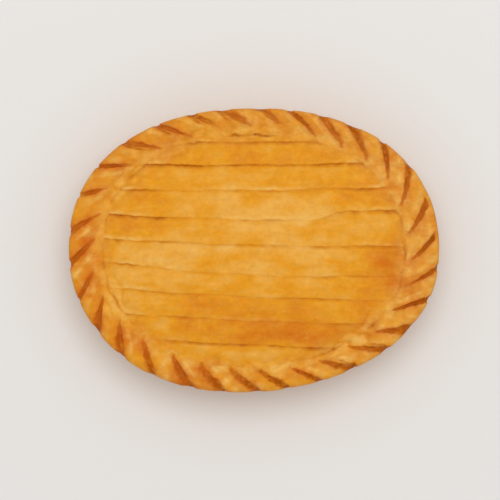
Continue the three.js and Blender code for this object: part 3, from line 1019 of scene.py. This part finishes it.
def strip_marks(at, tone):
    """Browning, painted shade along the seams, gathered glaze, pale places and egg wash of a strip of the
    given tone.
    """
    # Painted shade along the seam, darkest where the edge stayed open, and on the curled underside of the
    # lip
    gap = bell(np.maximum(at.from_far - SEAM_START, 0), between(SEAM_REACH, at.crack))
    gap = gap * (at.from_far > -SEAM_LAP)
    seam_shade = gap * at.crack ** SEAM_POWER * (1 + SEAM_GRAIN * at.fine) + LIP_SHADE * at.curled * at.step
    start, end = LIP_BAND
    edge_band = smoothstep(at.from_far, at.width - start, at.width - end) * (1 - at.curled)
    pale = edge_band * np.clip(at.lip * (1 + LIP_GRAIN * at.fine), 0, 1) + RIDGE_PALENESS * at.ridge
    x, y = at.points[..., 0], at.points[..., 1]
    own_tone = tone + STRIP_MOTTLE * (at.wide + at.own)
    rim_tone = BORDER_TONE + RIM_MOTTLE * at.wide
    return {
        "tone": browning(x, y) + between((rim_tone, own_tone), at.ending) + SEAM_SHADE_TONE * seam_shade,
        # Painted shade along the seams and in the border's cracks, glaze and painted shade in its wrinkles
        "crease": np.clip(SEAM_SHADE * seam_shade + at.cracks + crumple_lines(at), 0, 1),
        "pale": np.clip(pale + crumple_tops(at), 0, 1),
        "glaze": between((rim_wash(x, y), 1), at.ending),
    }


class PIE_OT_strips(bpy.types.Operator):
    """Make the lid: ten strips of pastry, each lapping over the next one nearer"""

    bl_idname = "pie.make_strips"
    bl_label = "Lid of pastry strips"

    def execute(self, context):
        sizes = context.scene.pie_sizes
        bm = blank_mesh()
        for strip, tone in enumerate(STRIP_TONES):
            at = strip_grid(strip)
            skin(bm, laid(at, sizes), strip_marks(at, tone))
        bmesh.ops.holes_fill(bm, edges=[e for e in bm.edges if e.is_boundary])
        finish_piece(bm, "lid_strips", shortcrust(context.scene.pie_colours))
        return {"FINISHED"}


def add(tree, kind, links=None, **settings):
    """Adds a node with its settings, and sets or links its inputs."""
    made = tree.nodes.new(kind)
    for name, value in settings.items():
        setattr(made, name, value)
    for socket, value in (links or {}).items():
        if isinstance(value, bpy.types.NodeSocket):
            tree.links.new(value, made.inputs[socket])
        else:
            made.inputs[socket].default_value = value
    return made


def per_mm(size):
    """Scale of a texture whose features are about the given number of millimetres across."""
    return 1 / (size * MM)


def crust_patterns(tree):
    """The crust's patterns, each from 0 to 1: clouds, blotches and streaks drawn out along the strips,
    mealy dough, fine grain and blisters."""
    place = add(tree, "ShaderNodeTexCoord").outputs["Object"]
    patterns = SimpleNamespace()
    for name, (drawn_out, size, detail, roughness, distortion) in CRUST_NOISES.items():
        drawn = add(tree, "ShaderNodeMapping", {"Vector": place, "Scale": (drawn_out, 1, 1)})
        made = add(tree, "ShaderNodeTexNoise", {
            "Vector": drawn.outputs["Vector"], "Scale": per_mm(size), "Detail": detail,
            "Roughness": roughness, "Distortion": distortion})
        setattr(patterns, name, made.outputs["Fac"])
    cells = add(tree, "ShaderNodeTexVoronoi", {
        "Vector": place, "Scale": per_mm(BLISTER_SPACING), "Randomness": 1}).outputs["Distance"]
    patterns.blister = add(tree, "ShaderNodeMapRange", {
        "Value": cells, "From Min": BLISTER_RADII[0], "From Max": BLISTER_RADII[1],
        "To Min": 1, "To Max": 0}).outputs["Result"]
    return patterns


def baked_colour(tree, tone, patterns, colours):
    """Colour that the oven gave the crust: from pale through golden to brown, cloudy and streaky."""
    baked = add(tree, "ShaderNodeMath", {
        0: patterns.cloud, 1: CLOUD_TONE, 2: tone}, operation="MULTIPLY_ADD").outputs[0]
    baked = add(tree, "ShaderNodeMath", {
        0: patterns.streak, 1: STREAK_TONE, 2: baked}, operation="MULTIPLY_ADD").outputs[0]
    baked = add(tree, "ShaderNodeMath", {
        0: baked, 1: (CLOUD_TONE + STREAK_TONE) / 2}, operation="SUBTRACT").outputs[0]
    ramp = add(tree, "ShaderNodeValToRGB", {"Fac": baked})
    stops = ramp.color_ramp.elements
    pale_stop, golden_stop, brown_stop = BAKING_STOPS
    stops[0].position = pale_stop
    stops[0].color = (*colours.pale, 1)
    stops[1].position = brown_stop
    stops[1].color = (*colours.brown, 1)
    stops.new(golden_stop).color = (*colours.golden, 1)
    return ramp.outputs["Color"]


def floured(tree, colour, pale, patterns, colours):
    """The colour with what stayed pale: floury places, a faint bloom in blotches, and blisters."""
    bloom = add(tree, "ShaderNodeMapRange", {
        "Value": patterns.blotch, "From Min": BLOOM_RANGE[0], "From Max": BLOOM_RANGE[1],
        "To Min": 0, "To Max": BLOOM}).outputs["Result"]
    floury = add(tree, "ShaderNodeMath", {0: pale, 1: patterns.blotch}, operation="MULTIPLY").outputs[0]
    floury = add(tree, "ShaderNodeMath", {
        0: floury, 1: PALE_SHARE, 2: bloom}, operation="MULTIPLY_ADD", use_clamp=True).outputs[0]
    speck = add(tree, "ShaderNodeMath", {
        0: patterns.blister, 1: BLISTER_PALENESS}, operation="MULTIPLY").outputs[0]
    floury = add(tree, "ShaderNodeMath", {0: floury, 1: speck}, operation="MAXIMUM").outputs[0]
    return add(tree, "ShaderNodeMix", {
        "Factor": floury, "A": colour, "B": (*colours.pale, 1)}, data_type="RGBA").outputs["Result"]


def dried(tree, colour, glaze, patterns, colours):
    """The colour with dry pastry where there is no egg wash, and with the dough's mealy light and dark,
    which shows most where it is dry."""
    dryness = add(tree, "ShaderNodeMath", {
        0: glaze, 1: -DRY_SHARE, 2: DRY_SHARE}, operation="MULTIPLY_ADD").outputs[0]
    colour = add(tree, "ShaderNodeMix", {
        "Factor": dryness, "A": colour, "B": (*colours.dry, 1)}, data_type="RGBA").outputs["Result"]
    uneven = add(tree, "ShaderNodeMath", {
        0: dryness, 1: DRY_MEAL_SHADE, 2: MEAL_SHADE}, operation="MULTIPLY_ADD").outputs[0]
    uneven = add(tree, "ShaderNodeMath", {0: uneven, 1: MOST_MEAL_SHADE}, operation="MINIMUM").outputs[0]
    lumpy = add(tree, "ShaderNodeMath", {0: patterns.meal, 1: 0.5}, operation="SUBTRACT").outputs[0]
    shade = add(tree, "ShaderNodeMath", {0: lumpy, 1: uneven, 2: 1}, operation="MULTIPLY_ADD").outputs[0]
    return add(tree, "ShaderNodeVectorMath", {0: colour, "Scale": shade}, operation="SCALE").outputs[0]


def glazed(tree, colour, crease, patterns, colours):
    """The colour with the red-brown glaze that gathered in creases and cracks, which also carries the
    painted shade there and along the strips' seams.
    """
    gathered = add(tree, "ShaderNodeMath", {
        0: patterns.meal, 1: GATHERED_SHARE, 2: GATHERED_LOSS}, operation="MULTIPLY_ADD").outputs[0]
    gathered = add(tree, "ShaderNodeMath", {
        0: crease, 1: gathered}, operation="MULTIPLY", use_clamp=True).outputs[0]
    return add(tree, "ShaderNodeMix", {
        "Factor": gathered, "A": colour, "B": (*colours.crease, 1)}, data_type="RGBA").outputs["Result"]


def shortcrust(colours):
    """Shortcrust pastry, rolled, brushed with egg and baked: a golden crust with a soft egg-wash sheen,
    cloudy browning, fine floury grain, small blisters, and red-brown glaze and painted shade in its
    creases."""
    name = "egg-washed shortcrust"
    if name in bpy.data.materials:
        return bpy.data.materials[name]
    material = bpy.data.materials.new(name)
    material.use_nodes = True
    tree = material.node_tree
    tree.nodes.clear()
    tone, crease, pale, glaze = (
        add(tree, "ShaderNodeAttribute", attribute_name=mark).outputs["Fac"]
        for mark in MARKS
    )
    patterns = crust_patterns(tree)
    colour = baked_colour(tree, tone, patterns, colours)
    colour = floured(tree, colour, pale, patterns, colours)
    colour = dried(tree, colour, glaze, patterns, colours)
    colour = glazed(tree, colour, crease, patterns, colours)

    dull = add(tree, "ShaderNodeMath", {
        0: glaze, 1: WASH_GLOSS, 2: DRY_ROUGHNESS}, operation="MULTIPLY_ADD").outputs[0]
    dull = add(tree, "ShaderNodeMath", {
        0: patterns.cloud, 1: CLOUD_ROUGHNESS, 2: dull}, operation="MULTIPLY_ADD").outputs[0]
    relief = add(tree, "ShaderNodeBump", {
        "Height": patterns.cloud, "Strength": 1, "Distance": CLOUD_HEIGHT * MM}).outputs["Normal"]
    for height, size in ((patterns.blister, BLISTER_HEIGHT), (patterns.grain, GRAIN_HEIGHT)):
        relief = add(tree, "ShaderNodeBump", {
            "Height": height, "Strength": 1, "Distance": size * MM, "Normal": relief}).outputs["Normal"]
    shader = add(tree, "ShaderNodeBsdfPrincipled", {
        "Base Color": colour, "Roughness": dull, "IOR": EGG_IOR, "Specular IOR Level": EGG_SPECULAR,
        "Specular Tint": (*colours.sheen, 1), "Normal": relief})
    add(tree, "ShaderNodeOutputMaterial", {"Surface": shader.outputs["BSDF"]})
    return material


def pale_floor(scene):
    """A plain, pale, matt floor, wide enough to have no edge in view."""
    bm = bmesh.new()
    bmesh.ops.create_circle(bm, cap_ends=True, segments=FLOOR_SIDES, radius=FLOOR_RADIUS)
    mesh = bpy.data.meshes.new("floor")
    bm.to_mesh(mesh)
    bm.free()
    material = bpy.data.materials.new("pale matt floor")
    material.use_nodes = True
    shader = material.node_tree.nodes["Principled BSDF"]
    shader.inputs["Base Color"].default_value = (*scene.pie_colours.floor, 1)
    shader.inputs["Roughness"].default_value = FLOOR_ROUGHNESS
    mesh.materials.append(material)
    floor = bpy.data.objects.new("floor", mesh)
    scene.collection.objects.link(floor)


def soft_light(scene):
    """Even white light from all round, and a round softbox that faces the pie."""
    world = bpy.data.worlds.new("studio")
    world.use_nodes = True
    background = world.node_tree.nodes["Background"]
    background.inputs["Color"].default_value = (1, 1, 1, 1)
    background.inputs["Strength"].default_value = EVEN_LIGHT
    scene.world = world
    lamp = bpy.data.lights.new("softbox", "AREA")
    lamp.shape = "DISK"
    lamp.size = SOFTBOX_WIDTH
    lamp.energy = SOFTBOX_POWER
    softbox = bpy.data.objects.new("softbox", lamp)
    softbox.location = SOFTBOX_PLACE
    softbox.rotation_euler = (-softbox.location).to_track_quat("-Z", "Y").to_euler()
    scene.collection.objects.link(softbox)


def overhead_camera(scene):
    """A camera that looks straight down, with a long lens."""
    lens = bpy.data.cameras.new("overhead")
    lens.lens = FOCAL_LENGTH
    lens.sensor_width = SENSOR_WIDTH
    camera = bpy.data.objects.new("overhead", lens)
    camera.location = CAMERA_PLACE
    scene.collection.objects.link(camera)
    scene.camera = camera


class PIE_OT_stage(bpy.types.Operator):
    """Set out the pale floor, soft light and a camera straight above the pie"""

    bl_idname = "pie.make_stage"
    bl_label = "Floor, light and camera"

    def execute(self, context):
        context.scene.view_settings.view_transform = "Standard"
        pale_floor(context.scene)
        soft_light(context.scene)
        overhead_camera(context.scene)
        return {"FINISHED"}


class PIE_PT_panel(bpy.types.Panel):
    """Lists the pie's pieces and what can be changed"""

    bl_idname = "PIE_PT_panel"
    bl_label = "Oval crimped pie"
    bl_space_type = "VIEW_3D"
    bl_region_type = "UI"
    bl_category = "Pie"

    def draw(self, context):
        for group in (context.scene.pie_sizes, context.scene.pie_colours):
            for name in group.__annotations__:
                self.layout.prop(group, name)
        for operator in OPERATORS:
            self.layout.operator(operator.bl_idname)


OPERATORS = (PIE_OT_case, PIE_OT_strips, PIE_OT_stage)
CLASSES = (PieSizes, PieColours, *OPERATORS, PIE_PT_panel)


def register():
    for item in CLASSES:
        bpy.utils.register_class(item)
    bpy.types.Scene.pie_sizes = PointerProperty(type=PieSizes)
    bpy.types.Scene.pie_colours = PointerProperty(type=PieColours)


def unregister():
    del bpy.types.Scene.pie_colours
    del bpy.types.Scene.pie_sizes
    for item in reversed(CLASSES):
        bpy.utils.unregister_class(item)


def main():
    register()
    bpy.ops.pie.make_case()
    bpy.ops.pie.make_strips()
    bpy.ops.pie.make_stage()


if __name__ == "__main__":
    main()
